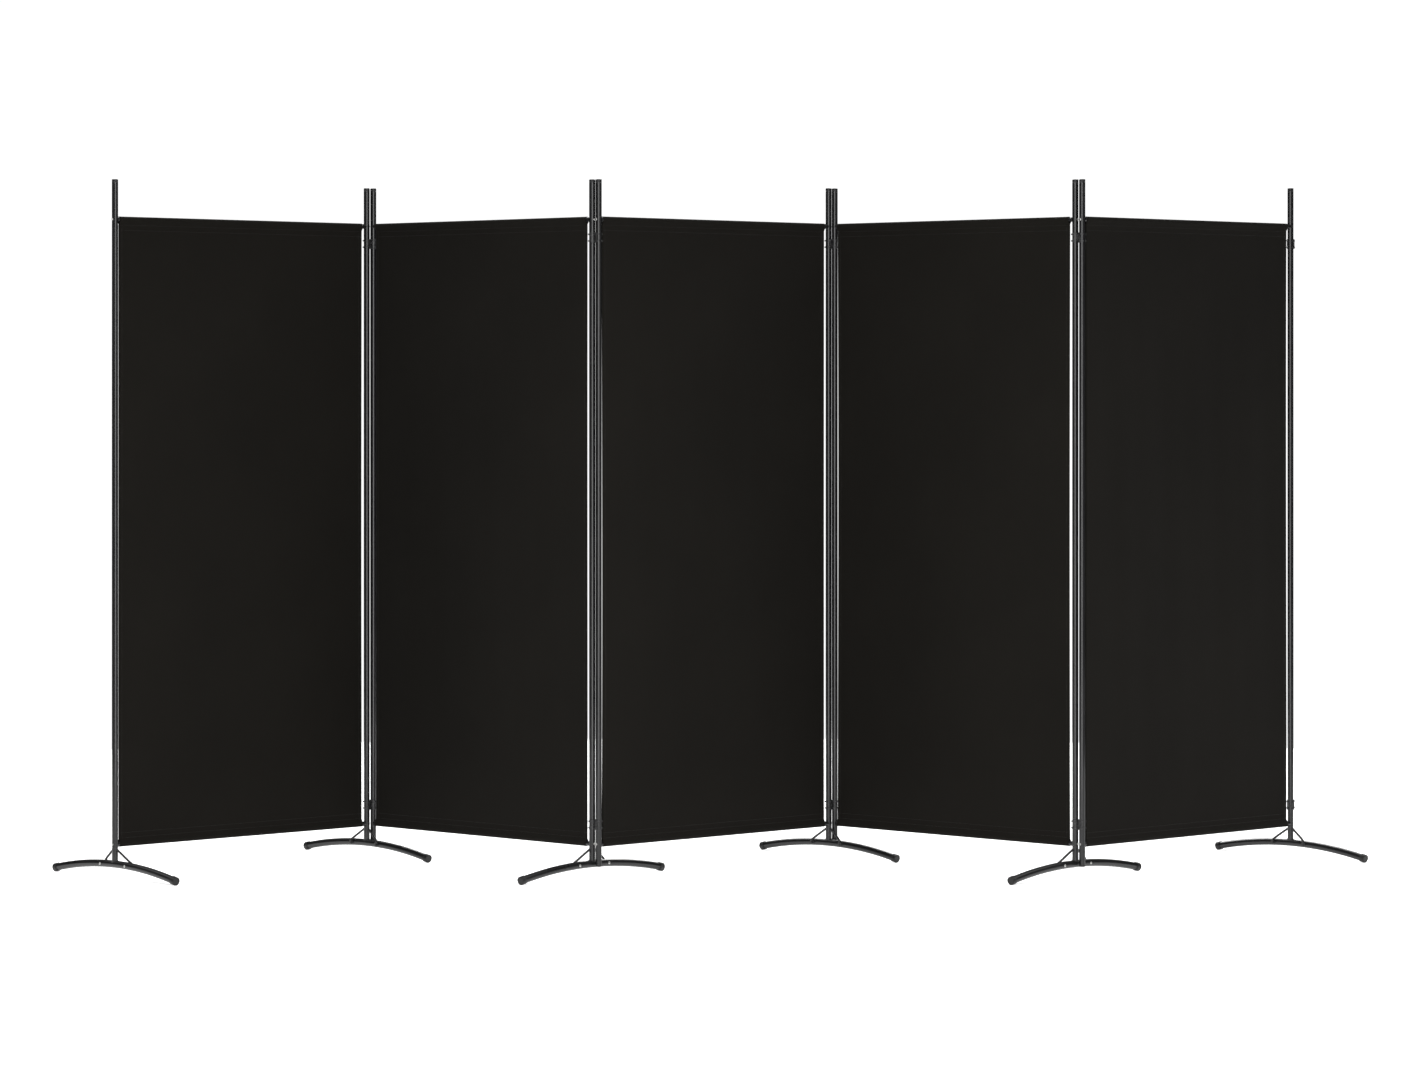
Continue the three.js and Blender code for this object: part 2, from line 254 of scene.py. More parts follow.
def swept(bm, path, radius, sides, closed=False):
    """A round bar along a path of points, closed into a ring or with its ends filled."""
    path = [Vector(point) for point in path]
    count = len(path)
    ahead = [
        (path[(i + 1) % count] if closed or i + 1 < count else path[i])
        - (path[i - 1] if closed or i else path[i])
        for i in range(count)
    ]
    turns = [ahead[0].to_track_quat("Z", "X")]
    for before, after in zip(ahead, ahead[1:]):
        turns.append(before.rotation_difference(after) @ turns[-1])
    places = [
        Matrix.Translation(point) @ turn.to_matrix().to_4x4() for point, turn in zip(path, turns)
    ]
    ring = bmesh.ops.create_circle(
        bm, cap_ends=False, radius=radius, segments=sides, matrix=places[0]
    )["verts"]
    made = list(ring)
    first = edges = edges_of(ring)
    for before, after in zip(places, places[1:]):
        ring, edges = grow(bm, edges)
        bmesh.ops.transform(bm, matrix=after @ before.inverted(), verts=ring)
        made += ring
    if closed:
        bmesh.ops.bridge_loops(bm, edges=first + edges)
    else:
        bmesh.ops.holes_fill(bm, edges=open_edges(made), sides=0)
    turn_outwards(bm, made)


def smooth_path(points, steps):
    """Points along a smooth curve through a few points."""
    points = [Vector(point) for point in points]
    ends = [2 * points[0] - points[1], *points, 2 * points[-1] - points[-2]]
    path = []
    for a, b, c, d in zip(ends, ends[1:], ends[2:], ends[3:]):
        for i in range(steps):
            t = i / steps
            path.append(
                0.5 * (2 * b + (c - a) * t + (2 * a - 5 * b + 4 * c - d) * t**2
                       + (3 * b - a - 3 * c + d) * t**3)
            )
    return path + [points[-1]]


def edge_wear(bm):
    """Marks the corners that rub bare first, as a vertex value from 0 to 1."""
    layer = bm.verts.layers.float.new("wear")
    for edge in bm.edges:
        if len(edge.link_faces) == 2 and edge.calc_face_angle_signed(0) > WORN_CORNER:
            for vertex in edge.verts:
                vertex[layer] = 1.0


def add_piece(name, bm, axes, body, slot, replaces=(), finish=None, sharp=32):
    """Makes a finished shape a piece in its place, riding on its body. It has its slot's
    finish unless another is named, and edges over sharp degrees stay sharp."""
    edge_wear(bm)
    bm.transform(axes)
    mesh = bpy.data.meshes.new(name)
    bm.to_mesh(mesh)
    bm.free()
    mesh.polygons.foreach_set("use_smooth", [True] * len(mesh.polygons))
    mesh.set_sharp_from_angle(angle=radians(sharp))
    mesh.materials.append(finish_for(finish or slot))
    piece = bpy.data.objects.new(name, mesh)
    bpy.context.scene.collection.objects.link(piece)
    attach(piece, body)
    if replaces:
        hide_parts(*replaces)
    return piece


# ---- Finishes ----


class Finish:
    """A new material with its shader, and the nodes that vary it over a piece."""

    def __init__(self, name, **values):
        self.material = bpy.data.materials.new(name)
        self.material.use_nodes = True
        self.tree = self.material.node_tree
        self.shader = self.tree.nodes["Principled BSDF"]
        for socket, value in values.items():
            self.shader.inputs[socket.replace("_", " ")].default_value = value

    def node(self, kind, inputs=(), **settings):
        """A node, with settings on it, and inputs by name or number: a value or a socket."""
        node = self.tree.nodes.new(kind)
        for setting, value in settings.items():
            setattr(node, setting, value)
        for socket, value in dict(inputs).items():
            if isinstance(value, NodeSocket):
                self.tree.links.new(value, node.inputs[socket])
            else:
                node.inputs[socket].default_value = value
        return node

    def place(self, scale=(1, 1, 1), uv=None):
        """Object coordinates, or those of a UV map, stretched by scale."""
        if uv:
            source = self.node("ShaderNodeUVMap", uv_map=uv).outputs["UV"]
        else:
            source = self.node("ShaderNodeTexCoord").outputs["Object"]
        return self.node("ShaderNodeMapping", {"Vector": source, "Scale": scale}).outputs[0]

    def noise(self, place, scale, detail=2.0, roughness=0.5):
        inputs = {"Vector": place, "Scale": scale, "Detail": detail, "Roughness": roughness}
        return self.node("ShaderNodeTexNoise", inputs).outputs["Fac"]

    def maths(self, operation, first, second=0.0, third=0.0):
        node = self.node("ShaderNodeMath", {0: first, 1: second, 2: third}, operation=operation)
        return node.outputs[0]

    def remap(self, value, low, high, to_low=0.0, to_high=1.0):
        inputs = {"Value": value, 1: low, 2: high, 3: to_low, 4: to_high}
        return self.node("ShaderNodeMapRange", inputs).outputs["Result"]

    def tint(self, factor, first, second, blend="MIX"):
        """A blend of two colours, each of them a tone or a socket."""
        first, second = (
            tone if isinstance(tone, NodeSocket) else (*tone, 1) for tone in (first, second)
        )
        inputs = {"Factor": factor, 6: first, 7: second}
        node = self.node("ShaderNodeMix", inputs, data_type="RGBA", blend_type=blend)
        return node.outputs[2]

    def bump(self, height, depth, strength=1.0, under=None):
        inputs = {"Height": height, "Distance": depth, "Strength": strength}
        if under is not None:
            inputs["Normal"] = under
        return self.node("ShaderNodeBump", inputs).outputs["Normal"]

    def set(self, **sockets):
        for name, socket in sockets.items():
            self.tree.links.new(socket, self.shader.inputs[name.replace("_", " ")])
        return self.material

    def wear(self, place, amount):
        """Worn patches along a piece's corners."""
        mark = self.node("ShaderNodeAttribute", attribute_name="wear").outputs["Fac"]
        patches = self.remap(self.noise(place, 260, detail=4), 0.42, 0.62)
        return self.maths("MULTIPLY", self.maths("MULTIPLY", mark, patches), amount)


def times(tone, factor):
    return tuple(min(1.0, part * factor) for part in tone)


def powder_coat(name, tone, gloss, marks=()):
    """Powder coat with a fine orange peel, faint handling scratches, and rub marks at
    the heights in marks, where the clips turn."""
    coat = Finish(name, Specular_IOR_Level=0.28, Coat_Weight=0.18, Coat_Roughness=0.08)
    place = coat.place()
    cloudy = coat.noise(place, 9, detail=3)
    peel = coat.noise(place, 620)
    speck = coat.noise(place, 2600, detail=1)
    scratch = coat.noise(coat.place((420, 420, 26)), 1.0, detail=4, roughness=0.6)
    worn = coat.wear(place, 0.7)
    rough = coat.remap(cloudy, 0.3, 0.7, gloss - 0.03, gloss + 0.05)
    rough = coat.maths("MULTIPLY_ADD", coat.remap(scratch, 0.6, 0.74), 0.05, rough)
    rough = coat.maths("MULTIPLY_ADD", worn, 0.2, rough)
    if marks:
        height = coat.node("ShaderNodeSeparateXYZ", {0: place}).outputs["Z"]
        lines = coat.noise(coat.place((40, 40, 2600)), 1.0, detail=3)
        lines = coat.remap(lines, 0.45, 0.62)
        for mark in marks:
            away = coat.maths("ABSOLUTE", coat.maths("SUBTRACT", height, mark))
            rubbed = coat.maths("MULTIPLY", coat.remap(away, 0.011, 0.017, 1.0, 0.0), lines)
            rough = coat.maths("MULTIPLY_ADD", rubbed, 0.16, rough)
    shade = coat.tint(coat.remap(cloudy, 0.25, 0.75), times(tone, 0.8), times(tone, 1.25))
    bare = coat.tint(worn, (0, 0, 0), (0.03, 0.03, 0.03))
    shade = coat.tint(1.0, shade, bare, "ADD")
    normal = coat.bump(peel, 0.00004, 0.6)
    normal = coat.bump(speck, 0.00001, 0.4, normal)
    return coat.set(Base_Color=shade, Roughness=rough, Normal=normal)


def moulded_plastic(name, tone, gloss):
    """Moulded plastic with a fine spark-eroded grain and paler rubbed corners."""
    plastic = Finish(name, Specular_IOR_Level=0.3, IOR=1.49)
    place = plastic.place()
    grain = plastic.noise(place, 1900, roughness=0.6)
    flow = plastic.noise(plastic.place((1, 1, 0.4)), 60, detail=3)
    worn = plastic.wear(place, 0.8)
    rough = plastic.remap(flow, 0.3, 0.7, gloss - 0.05, gloss + 0.06)
    rough = plastic.maths("MULTIPLY_ADD", worn, 0.15, rough)
    shade = plastic.tint(plastic.remap(flow, 0.3, 0.7), times(tone, 0.85), times(tone, 1.3))
    shade = plastic.tint(worn, shade, (0.035, 0.035, 0.036))
    normal = plastic.bump(grain, 0.00003, 0.5)
    return plastic.set(Base_Color=shade, Roughness=rough, Normal=normal)


def zinc_plate(tone):
    """Bright zinc plate with turning marks and a little dulling."""
    zinc = Finish("zinc plate", Metallic=1.0)
    dull = zinc.remap(zinc.noise(zinc.place(), 700, detail=3), 0.3, 0.7)
    lines = zinc.noise(zinc.place((1, 1, 9)), 900)
    return zinc.set(
        Base_Color=zinc.tint(dull, times(tone, 0.75), tone),
        Roughness=zinc.remap(dull, 0.0, 1.0, 0.24, 0.4), Normal=zinc.bump(lines, 0.00002, 0.4),
    )


def woven_cloth(tone):
    """Plain-woven matt cloth: threads a third of a millimetre apart that pass over and
    under one another, slubs in single threads, and a cloudy tone over the panel."""
    cloth = Finish(
        "black cloth", Specular_IOR_Level=0.06, Sheen_Weight=0.03, Sheen_Roughness=0.45
    )
    threads, long, short = 2900.0, 14, 1500  # threads to a metre, and slubs along and across
    place = cloth.place(uv="cloth")
    counted = cloth.place((threads, threads, 1), uv="cloth")
    split = cloth.node("ShaderNodeSeparateXYZ", {0: counted}).outputs
    warp, weft = (
        cloth.maths("ABSOLUTE", cloth.maths("SINE", cloth.maths("MULTIPLY", count, pi)))
        for count in (split["X"], split["Y"])
    )
    over = cloth.node("ShaderNodeTexChecker", {"Vector": counted, "Scale": 1.0}).outputs["Fac"]
    under = cloth.maths("SUBTRACT", 1.0, over)
    weave = cloth.maths("MULTIPLY_ADD", warp, over, cloth.maths("MULTIPLY", weft, under))
    slubs = [
        cloth.noise(cloth.place(scale, uv="cloth"), 1.0)
        for scale in ((short, long, 1), (long, short, 1))
    ]
    slub = cloth.maths("MULTIPLY", cloth.maths("ADD", *slubs), 0.5)
    cloudy = cloth.noise(place, 2.6, detail=3)
    mottle = cloth.noise(place, 55, detail=4, roughness=0.65)
    shading = cloth.maths("MULTIPLY_ADD", slub, 0.5, cloth.maths("MULTIPLY", cloudy, 0.35))
    shading = cloth.maths("MULTIPLY_ADD", mottle, 0.25, shading)
    shade = cloth.tint(cloth.remap(shading, 0.35, 0.75), times(tone, 0.72), times(tone, 1.35))
    # Painted shade: the colour darkens towards near black in the hollows between threads, where
    # the weave's height is low.
    shade = cloth.tint(cloth.remap(weave, 0.0, 0.5, 0.35, 0.0), shade, (0.0008, 0.0008, 0.0007))
    normal = cloth.bump(slub, 0.0001, 0.5)
    normal = cloth.bump(weave, 0.00008, 0.7, normal)
    rough = cloth.remap(mottle, 0.3, 0.7, 0.84, 0.94)
    return cloth.set(Base_Color=shade, Roughness=rough, Normal=normal)


def sewing_thread(tone):
    """Twisted polyester thread."""
    thread = Finish("sewing thread", Specular_IOR_Level=0.3, Sheen_Weight=0.1)
    twist = thread.noise(thread.place((1, 1, 2.5)), 1800)
    shade = thread.tint(thread.remap(twist, 0.3, 0.7), times(tone, 0.6), times(tone, 1.3))
    rough = thread.remap(thread.noise(thread.place(), 90), 0.3, 0.7, 0.55, 0.75)
    return thread.set(Base_Color=shade, Roughness=rough, Normal=thread.bump(twist, 0.00005, 0.6))


def studio_white(tone, glow):
    """Matt studio floor with a barely uneven tone, lit from below."""
    paper = Finish("studio floor", Specular_IOR_Level=0.1, Emission_Strength=glow)
    uneven = paper.noise(paper.place(), 0.8)
    shade = paper.tint(paper.remap(uneven, 0.3, 0.7), times(tone, 0.985), tone)
    rough = paper.remap(uneven, 0.3, 0.7, 0.85, 0.95)
    return paper.set(Base_Color=shade, Roughness=rough)


_finishes = {}


def finish_for(slot):
    """The finish of one of the record's material slots, or of thread or zinc."""
    if not _finishes:
        tones = bpy.context.scene.screen_finishes
        _finishes.update(
            pole_steel=powder_coat("gloss black powder coat", tones.pole, 0.2, CLIP_PLACES),
            bar_steel=powder_coat("gloss black powder coat on bars", tones.pole, 0.22),
            foot_steel=powder_coat("satin black powder coat", tones.foot, 0.3),
            cap_plastic=moulded_plastic("grained black plastic", tones.plastic, 0.45),
            clip_plastic=moulded_plastic("smooth black plastic", tones.plastic, 0.26),
            cloth=woven_cloth(tones.cloth),
            thread=sewing_thread(tones.thread),
            zinc=zinc_plate(tones.zinc),
        )
    return _finishes[slot]


# ---- Pieces ----


def tube_profile(outer, inner, low, high, edge=0.0003, rim=0.004):
    """A tube's wall, with eased edges, as (radius, height) points."""
    return [
        (inner, low), (outer - edge, low), (outer, low + edge), (outer, low + rim),
        (outer, high - rim), (outer, high - edge), (outer - edge, high), (inner, high),
    ]


def round_edge(outer, top, size):
    """A quarter round from a side at outer to a face at top, as (radius, height) points."""
    return [
        (outer - size * (1 - cos(a)), top - size * (1 - sin(a)))
        for a in (radians(15 * i) for i in range(7))
    ]


def screw_head(bm, place, radius, height):
    """A pan head with a cross recess, standing on the XY plane of place."""
    dome, recess, taper = 0.45, 0.55, 0.8
    grid = bmesh.ops.create_grid(bm, x_segments=5, y_segments=5, size=1.0)["verts"]
    for vertex in grid:
        if max(map(abs, vertex.co.xy)) > 0.9:  # the grid's border becomes the round rim
            vertex.co.xy = vertex.co.xy.normalized()
        vertex.co.z = 1 - dome * vertex.co.xy.length**3
    cross = [
        face for face in faces_of(grid)
        if min(map(abs, face.calc_center_median().xy)) < 0.1
        and max(map(abs, face.calc_center_median().xy)) < 0.5
    ]
    rim = open_edges(grid)
    sunk = verts_in(bmesh.ops.extrude_face_region(bm, geom=cross)["geom"])
    bmesh.ops.scale(bm, vec=(taper, taper, 1), verts=sunk)
    bmesh.ops.translate(bm, vec=(0, 0, -recess), verts=sunk)
    skirt = verts_in(bmesh.ops.extrude_edge_only(bm, edges=rim)["geom"])
    for vertex in skirt:
        vertex.co.z = 0
    made = list({*grid, *sunk, *skirt})
    bmesh.ops.holes_fill(bm, edges=open_edges(skirt), sides=0)
    turn_outwards(bm, made)
    size = Matrix.Diagonal((radius, radius, height, 1))
    bmesh.ops.transform(bm, matrix=place @ size, verts=made)


def facing(x, y, z, direction):
    """A place at a point, with its Z towards a direction."""
    turn = Vector(direction).to_track_quat("Z", "Y").to_matrix().to_4x4()
    return Matrix.Translation((x, y, z)) @ turn


class FOLDING_SCREEN_OT_poles(bpy.types.Operator):
    """Upright poles with their top caps, and the plugs of the poles that hang in clips"""

    bl_idname = "folding_screen.poles"
    bl_label = "Poles"

    overlap = 0.0002  # how far a cap or plug laps its tube, and its stem's room inside

    def execute(self, context):
        sizes = context.scene.screen_frame
        outer, inner = sizes.pole_radius, sizes.pole_radius - sizes.tube_wall
        for (number, side), place in POLE_PLACES.items():
            node = f"panel_{number}_{side}_pole"
            low, high = (corner.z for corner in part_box(node))
            hung = side == "left" and number > 1  # in the clips, clear of the floor
            foot = low + sizes.plug_height if hung else low
            tube = tube_profile(outer, inner, foot, high - sizes.cap_height)
            cap = self.cap(outer, inner, high - sizes.cap_height, high)
            pieces = [("tube", tube, "pole_steel", [node]), ("cap", cap, "cap_plastic", [])]
            if hung:
                plug = self.plug(outer, inner, low, foot)
                pieces.append(("plug", plug, "cap_plastic", []))
            for kind, profile, slot, replaces in pieces:
                bm = bmesh.new()
                turned(bm, profile, closed=kind == "tube")
                axes = Matrix.Translation((*place.xy, 0))
                add_piece(f"{node}_{kind}", bm, axes, f"panel_{number}", slot, replaces)
        return {"FINISHED"}

    def cap(self, outer, inner, low, top):
        """A push-in cap: a short stem inside the tube and a flat head with a round edge."""
        head, stem = low + self.overlap, inner - self.overlap
        tip, rim, dip = head - 0.012, outer - 0.0045, top - 0.0003
        return [
            (0, tip), (stem - 0.0006, tip), (stem, tip + 0.001), (stem, head),
            (outer - self.overlap, head), (outer, head + self.overlap),
            *round_edge(outer, top, 0.0014), (rim, top), (rim - 0.0005, dip), (0, dip),
        ]

    def plug(self, outer, inner, low, foot):
        """A push-in plug under a pole that stands clear of the floor."""
        head, stem = foot - self.overlap, inner - self.overlap
        tip = head + 0.01
        return [
            (0, low), (outer - 0.0022, low), (outer - 0.0009, low + 0.0005),
            (outer - 0.0002, low + 0.0014), (outer, head - 0.0003), (outer - 0.0003, head),
            (stem, head), (stem, tip - 0.001), (stem - 0.0008, tip), (0, tip),
        ]


class FOLDING_SCREEN_OT_bars(bpy.types.Operator):
    """Crossbars, with ends hollowed to fit round the poles"""

    bl_idname = "folding_screen.bars"
    bl_label = "Crossbars"

    def execute(self, context):
        sizes = context.scene.screen_frame
        inner = sizes.bar_radius - sizes.tube_wall
        profile = tube_profile(sizes.bar_radius, inner, 0, PANEL_WIDTH, edge=0.0002, rim=0.012)
        for number in PANELS:
            for place, height in (("top", TOP_BAR), ("bottom", BOTTOM_BAR)):
                bm = bmesh.new()
                turned(bm, profile, closed=True)
                bm.transform(Matrix.Rotation(pi / 2, 4, "Y"))
                for vertex in bm.verts:
                    self.hollow(vertex, sizes.pole_radius + FIT)
                bm.transform(Matrix.Translation((0, 0, height)))
                node, body = f"panel_{number}_{place}_bar", f"panel_{number}"
                add_piece(f"{node}_tube", bm, PANEL_AXES[number], body, "bar_steel", [node])
        return {"FINISHED"}

    def hollow(self, vertex, clear):
        """Draws an end back so that it follows the pole it meets."""
        back = sqrt(clear**2 - vertex.co.y**2)
        vertex.co.x += back if vertex.co.x < PANEL_WIDTH / 2 else -back


class FOLDING_SCREEN_OT_screws(bpy.types.Operator):
    """Bright screws that hold the crossbars to the poles"""

    bl_idname = "folding_screen.screws"
    bl_label = "Frame screws"

    def execute(self, context):
        sizes = context.scene.screen_frame
        sunk = 0.0003
        for number in PANELS:
            bm = bmesh.new()
            for height in (TOP_BAR, BOTTOM_BAR):
                for end, way in ((0, -1), (PANEL_WIDTH, 1)):
                    face = end + way * (sizes.pole_radius - sunk)
                    place = facing(face, 0, height, (way, 0, 0))
                    screw_head(bm, place, sizes.screw_radius, sizes.screw_height + sunk)
            body = f"panel_{number}"
            add_piece(f"{body}_screws", bm, PANEL_AXES[number], body, "pole_steel", finish="zinc")
        return {"FINISHED"}


class Cloth:
    """One panel's cloth in the panel's own axes: where its points hang."""

    # Each wave's strength, its waves across and up the cloth, and its share of the offset
    # that makes each panel's waves its own.
    waves = ((1.0, 1.6, 0.22, 1.0), (0.5, 3.7, -0.35, 2.3), (0.3, 7.9, 0.6, 0.7))
    pucker_pitch, pucker_drift, pucker_reach = 0.021, 0.087, 0.016

    def __init__(self, number, sizes, bar_radius):
        self.number, self.sizes, self.offset = number, sizes, number * 1.7
        self.left, self.right = CLOTH_BOX[0].x, CLOTH_BOX[1].x
        self.layer = sizes.thickness / 2 + 0.00005
        self.roll = bar_radius + sizes.thickness / 2 + 0.0004
        self.high, self.low = TOP_BAR - sizes.seam_drop, BOTTOM_BAR + sizes.seam_drop

    def hang(self, x, y, z):
        """Moves a point of the flat cloth to where it hangs: shallow waves between the
        bars, puckers at the seams, and side edges drawn in."""
        across = (x - self.left) / (self.right - self.left)
        up = min(1.0, max(0.0, (z - self.low) / (self.high - self.low)))
        free = sin(pi * up)
        wave = sum(
            strength * sin(TURN * (wide * across + tall * up) + share * self.offset)
            for strength, wide, tall, share in self.waves
        )
        off = self.sizes.sway * free**0.8 * wave
        if self.low <= z <= self.high:
            near = min(abs(z - self.high), abs(z - self.low))
            drift = 1.4 * sin(TURN * x / self.pucker_drift + self.offset)
            gather = sin(TURN * x / self.pucker_pitch + drift)
            fade = exp(-near / self.pucker_reach) * (near / (near + 0.002))
            off += self.sizes.pucker * fade * gather
        drawn = self.sizes.side_bow * free * (2 * across - 1) ** 3
        return Vector((x - drawn, y + off, z))

    def roll_points(self, centre, way):
        """The cloth's path round a bar from its hem to its front, as (y, z) points. Way
        is 1 at the top bar and -1 at the bottom bar."""
        hem_steps, roll_steps = 4, 22
        seam, hem = self.sizes.seam_drop, self.sizes.hem_drop
        reach = acos(self.roll / hypot(seam, self.layer))
        low, high = reach - pi / 2, 3 * pi / 2 - reach
        path = [
            (self.layer, -hem + (hem - seam) * i / hem_steps) for i in range(hem_steps + 1)
        ]
        path += [
            (self.roll * cos(a), self.roll * sin(a))
            for a in (low + (high - low) * i / roll_steps for i in range(roll_steps + 1))
        ]
        path.append((-self.layer, -seam))
        return [(y, centre + way * z) for y, z in path]

    def path(self, rows):
        """The cloth's whole path from hem to hem, as (y, z) points, with rows of them
        between the bars that lie closer near the bars."""
        steps = [i / rows for i in range(1, rows)]
        eased = [0.5 * t + 0.5 * (1 - cos(pi * t)) / 2 for t in steps]
        front = [(-self.layer, self.high + (self.low - self.high) * t) for t in eased]
        return self.roll_points(TOP_BAR, 1) + front + self.roll_points(BOTTOM_BAR, -1)[::-1]


class FOLDING_SCREEN_OT_cloths(bpy.types.Operator):
    """Cloth panels, each with a sleeve round its two bars, turned side hems and stitches"""

    bl_idname = "folding_screen.cloths"
    bl_label = "Cloth panels"

    columns, rows, hem_rows = 162, 44, 90

    def execute(self, context):
        sizes = context.scene.screen_cloth
        for number in PANELS:
            cloth = Cloth(number, sizes, context.scene.screen_frame.bar_radius)
            sheet, path_length = self.add_sheet(cloth)
            hems = self.add_side_hems(cloth)
            stitches = self.add_stitches(cloth)
        return {"FINISHED"}

    def draw_out(self, bm, verts, step, count):
        """Draws a row of vertices out in steps."""
        edges = [bm.edges.new(pair) for pair in zip(verts, verts[1:])]
        for _ in range(count):
            verts, edges = grow(bm, edges)
            bmesh.ops.translate(bm, vec=step, verts=verts)

    def add_woven(self, name, bm, along, cloth, thickness, replaces=()):
        """Adds a flat shape of cloth, hung in its place, with a UV map in metres: across
        the cloth, and along it by a vertex value."""
        chart = bm.loops.layers.uv.new("cloth")
        for face in bm.faces:
            for loop in face.loops:
                loop[chart].uv = (loop.vert.co.x, loop.vert[along])
        piece = self.add_hung(name, bm, cloth, "cloth", replaces, outwards=True)
        wall = piece.modifiers.new("thickness", "SOLIDIFY")
        wall.thickness = thickness
        wall.offset = 0
        return piece

    def add_hung(self, name, bm, cloth, finish, replaces=(), outwards=False):
        for vertex in bm.verts:
            vertex.co = cloth.hang(*vertex.co)
        if outwards:
            bmesh.ops.recalc_face_normals(bm, faces=bm.faces)
        axes, body = PANEL_AXES[cloth.number], f"panel_{cloth.number}"
        return add_piece(f"{body}_{name}", bm, axes, body, "cloth", replaces, finish, sharp=60)

    def add_sheet(self, cloth):
        bm = bmesh.new()
        along = bm.verts.layers.float.new("along")
        path = cloth.path(self.rows)
        runs = [0.0]
        for pair in zip(path, path[1:]):
            runs.append(runs[-1] + dist(*pair))
        verts = [bm.verts.new((cloth.left, y, z)) for y, z in path]
        for vertex, run in zip(verts, runs):
            vertex[along] = run
        self.draw_out(bm, verts, ((cloth.right - cloth.left) / self.columns, 0, 0), self.columns)
        node = f"panel_{cloth.number}_fabric"
        return self.add_woven("cloth", bm, along, cloth, cloth.sizes.thickness, [node]), runs[-1]

    def add_side_hems(self, cloth):
        """The side edges turned over to the back, from seam to seam."""
        bm = bmesh.new()
        along = bm.verts.layers.float.new("along")
        half, back = cloth.sizes.thickness / 2, 3 * cloth.layer
        for edge, way in ((cloth.left, 1), (cloth.right, -1)):
            curl = [
                (-way * 1.6 * half, -cloth.layer + 0.3 * half), (-way * 2.0 * half, 0.0),
                (-way * 1.6 * half, back - 1.2 * half), (0.0, back),
            ]
            flat = [(way * cloth.sizes.side_hem * i / 3, back) for i in range(1, 4)]
            verts = [bm.verts.new((edge + x, y, cloth.low)) for x, y in curl + flat]
            step = (cloth.high - cloth.low) / self.hem_rows
            self.draw_out(bm, verts, (0, 0, step), self.hem_rows)
        for vertex in bm.verts:
            vertex[along] = vertex.co.z
        return self.add_woven("side_hems", bm, along, cloth, 0.9 * cloth.sizes.thickness)

    def add_stitches(self, cloth):
        """Rows of lock stitches: along each sleeve's seam and hem, and down the sides."""
        sizes = cloth.sizes
        side_inset, end_inset, side_end_inset = sizes.side_hem - 0.0025, 0.004, 0.003
        flat, upright = Matrix.Identity(4), Matrix.Rotation(-pi / 2, 4, "Y")
        face = cloth.layer + sizes.thickness / 2
        run = cloth.right - cloth.left - 2 * end_inset
        rows = []  # each row's start, direction, length and turn, and where its back lies
        for centre, way in ((TOP_BAR, -1), (BOTTOM_BAR, 1)):
            for drop in (sizes.seam_drop + 0.0012, sizes.hem_drop - 0.004):
                start = Vector((cloth.left + end_inset, 0, centre + way * drop))
                rows.append((start, Vector((1, 0, 0)), run, flat, face))
        run = cloth.high - cloth.low - 2 * side_end_inset
        for edge in (cloth.left + side_inset, cloth.right - side_inset):
            start = Vector((edge, 0, cloth.low + side_end_inset))
            rows.append((start, Vector((0, 0, 1)), run, upright, face + sizes.thickness))
        bm = bmesh.new()
        for start, ahead, run, turn, behind in rows:
            for y in (-face, behind):
                first = start + ahead * sizes.stitch / 2
                place = Matrix.Translation((first.x, y, first.z)) @ turn
                self.stitch_row(bm, place, ahead, int(run / sizes.stitch), sizes.stitch)
        return self.add_hung("stitches", bm, cloth, "thread")

    def stitch_row(self, bm, place, ahead, count, pitch):
        """A row of stitches, doubled until it is long enough."""
        row = bmesh.new()
        shape = Matrix.Diagonal((0.44 * pitch, 0.00022, 0.00026, 1))
        bmesh.ops.create_icosphere(row, subdivisions=1, radius=1, matrix=place @ shape)
        each = len(row.verts)
        made = 1
        while made < count:
            more = min(made, count - made)
            row.verts.ensure_lookup_table()
            verts = row.verts[: more * each]
            copied = bmesh.ops.duplicate(row, geom=verts + faces_of(verts))["geom"]
            bmesh.ops.translate(row, vec=ahead * pitch * made, verts=verts_in(copied))
            made += more
        mesh = bpy.data.meshes.new("stitch row")
        row.to_mesh(mesh)
        row.free()
        bm.from_mesh(mesh)
        bpy.data.meshes.remove(mesh)


class Foot:
    """One foot in its own axes: the pole it carries, and the line of its arched tube."""

    def __init__(self, foot, number, side, radius):
        self.name, self.body = f"foot_{foot}", f"panel_{number}"
        self.pole = f"{self.body}_{side}_pole"
        self.inward = 1 if side == "left" else -1
        pole_x = 0 if side == "left" else PANEL_WIDTH
        self.axes = PANEL_AXES[number] @ Matrix.Translation((pole_x, 0, 0))
        low, high = own_box(f"{self.name}_tube", self.axes)
        self.radius, self.middle = radius, high.z - radius
        flat, steep = 0.001, 1.0
        for _ in range(50):  # halves in on the lean that gives the tube its lowest corner
            self.tilt = (flat + steep) / 2
            self.curve = high.y / sin(self.tilt) - radius
            drop = self.curve - (self.curve - radius) * cos(self.tilt)
            if drop < self.middle - low.z:
                flat = self.tilt
            else:
                steep = self.tilt
        self.half_span = self.curve * sin(self.tilt)
        self.rise = self.curve * (1 - cos(self.tilt))

    def path(self, steps):
        """Points along the tube's axis from its front end to its back end."""
        centre = self.middle - self.curve
        turns = [self.tilt * (2 * i / steps - 1) for i in range(steps + 1)]
        return [
            (0, self.curve * sin(turn), centre + self.curve * cos(turn))
            for turn in turns
        ]

    def end(self, way):
        return Vector((0, way * self.half_span, self.middle - self.rise))

    def screw_place(self, way):
        drop = self.curve - sqrt(self.curve**2 - SCREW_ALONG**2)
        return Vector((0, way * SCREW_ALONG, self.middle - drop))

    def add(self, name, bm, slot, replaces=(), finish=None):
        add_piece(f"{self.name}_{name}", bm, self.axes, self.body, slot, replaces, finish)


